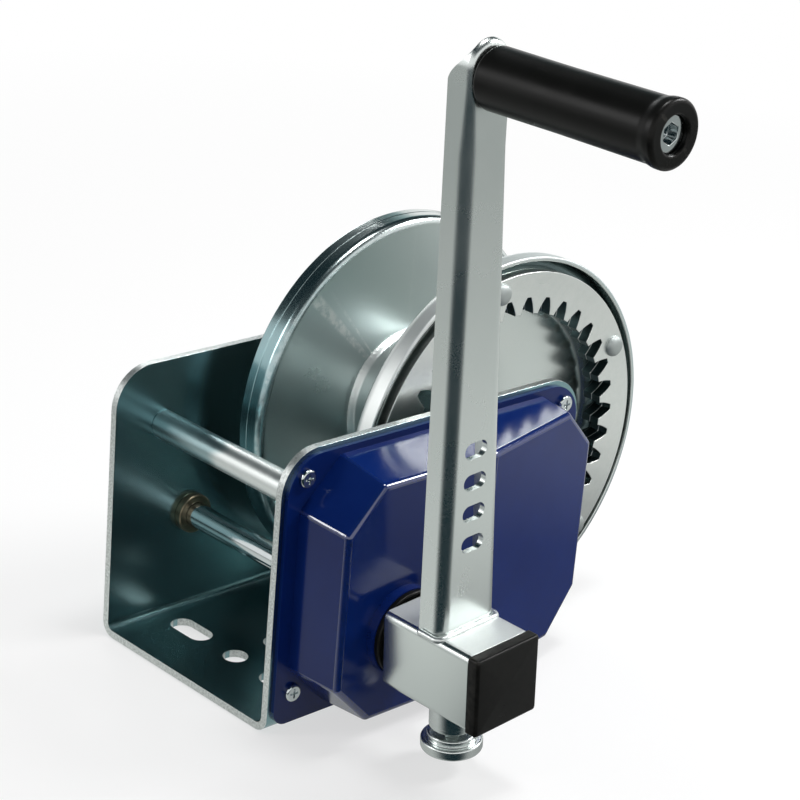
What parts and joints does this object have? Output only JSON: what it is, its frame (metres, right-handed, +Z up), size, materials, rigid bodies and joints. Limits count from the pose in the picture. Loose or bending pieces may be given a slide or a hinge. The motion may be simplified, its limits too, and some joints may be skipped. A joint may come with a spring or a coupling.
{
  "type": "hand brake winch",
  "caption": "Hand winch with a wide flanged drum in a bent steel channel, turned through a covered gear train by a leaning crank with a round grip and a release plunger.",
  "frame": {"origin": "underside of the base, at the middle of its bolt pattern", "axes": "+X along the base from the open end to the drum, +Y from the crank side to the far plate, +Z up"},
  "size_m": [0.269, 0.3179, 0.3556],
  "materials": {
    "zinc_plate": "bright zinc plating, smooth",
    "zinc_steel": "zinc plating over punched steel",
    "bright_steel": "turned or rolled steel, zinc plated",
    "bronze": "dull sintered bronze",
    "blue_plastic": "glossy moulded",
    "black_plastic": "satin moulded",
    "friction_lining": "pressed fibre"
  },
  "bodies": {
    "frame": {"frame_channel": "zinc_plate", "stay_tube": "zinc_plate", "stay_bolt": "bright_steel", "stay_washer": "bright_steel", "stay_nut": "bright_steel", "drum_axle": "bright_steel", "axle_clip": "bright_steel", "axle_spacers": "bright_steel", "shaft_bush_far": "bronze", "shaft_bush_near": "bronze", "countershaft_bush": "bronze", "pawl_pin": "bright_steel", "pawl_clip": "bright_steel", "cover": "blue_plastic", "cover_screws": "bright_steel", "seal_collar": "black_plastic"},
    "drum": {"drum_barrel": "zinc_plate", "drum_bushes": "bronze", "flange_far": "zinc_plate", "flange_near": "zinc_plate", "ring_gear_front": "zinc_steel", "ring_gear_back": "zinc_steel", "gear_rivets": "zinc_steel"},
    "countershaft": {"countershaft": "bright_steel", "countershaft_gear": "bright_steel", "countershaft_clip": "bright_steel"},
    "crank": {"drive_shaft": "bright_steel", "shaft_clip": "bright_steel", "drive_pinion": "bright_steel", "friction_discs": "friction_lining", "brake_hub": "bright_steel", "drive_block": "bright_steel", "block_washer": "bright_steel", "block_nut": "bright_steel", "crank_hub": "zinc_plate", "hub_cap": "black_plastic", "crank_arm": "zinc_plate", "grip_bolt": "bright_steel", "grip_washer": "bright_steel", "grip_nut": "bright_steel", "plunger_sleeve": "zinc_plate", "plunger_spring": "bright_steel"},
    "ratchet": {"ratchet": "bright_steel"},
    "pawl": {"pawl": "bright_steel"},
    "grip": {"grip": "black_plastic"},
    "plunger": {"plunger_pin": "bright_steel", "plunger_knob": "zinc_plate"}
  },
  "joints": [
    {"name": "drum_spin", "type": "hinge", "parent": "frame", "child": "drum", "pos_m": [0.067, 0, 0.1075], "axis": [0, -1, 0], "continuous": true},
    {"name": "countershaft_spin", "type": "hinge", "parent": "frame", "child": "countershaft", "pos_m": [0.02483, 0, 0.0752], "axis": [0, -1, 0], "continuous": true},
    {"name": "crank_spin", "type": "hinge", "parent": "frame", "child": "crank", "pos_m": [-0.0496, 0, 0.0575], "axis": [0, -1, 0], "continuous": true},
    {"name": "ratchet_spin", "type": "hinge", "parent": "frame", "child": "ratchet", "pos_m": [-0.0496, 0, 0.0575], "axis": [0, -1, 0], "continuous": true},
    {"name": "pawl_swing", "type": "hinge", "parent": "frame", "child": "pawl", "pos_m": [-0.042, 0, 0.105], "axis": [0, -1, 0], "range_deg": [0, 9]},
    {"name": "grip_spin", "type": "hinge", "parent": "crank", "child": "grip", "pos_m": [-0.0707, 0, 0.33911], "axis": [0, -1, 0], "continuous": true},
    {"name": "plunger_pull", "type": "slide", "parent": "crank", "child": "plunger", "axis": [0.0747, 0, -0.9972], "range_m": [0, 0.0075], "stiffness_N_per_m": 900, "springref_m": -0.006, "deforming": ["plunger_spring"]}
  ],
  "couplings": [
    {"joint": "countershaft_spin", "follows": "drum_spin", "ratio": 3.5},
    {"joint": "crank_spin", "follows": "drum_spin", "ratio": -9.25}
  ]
}
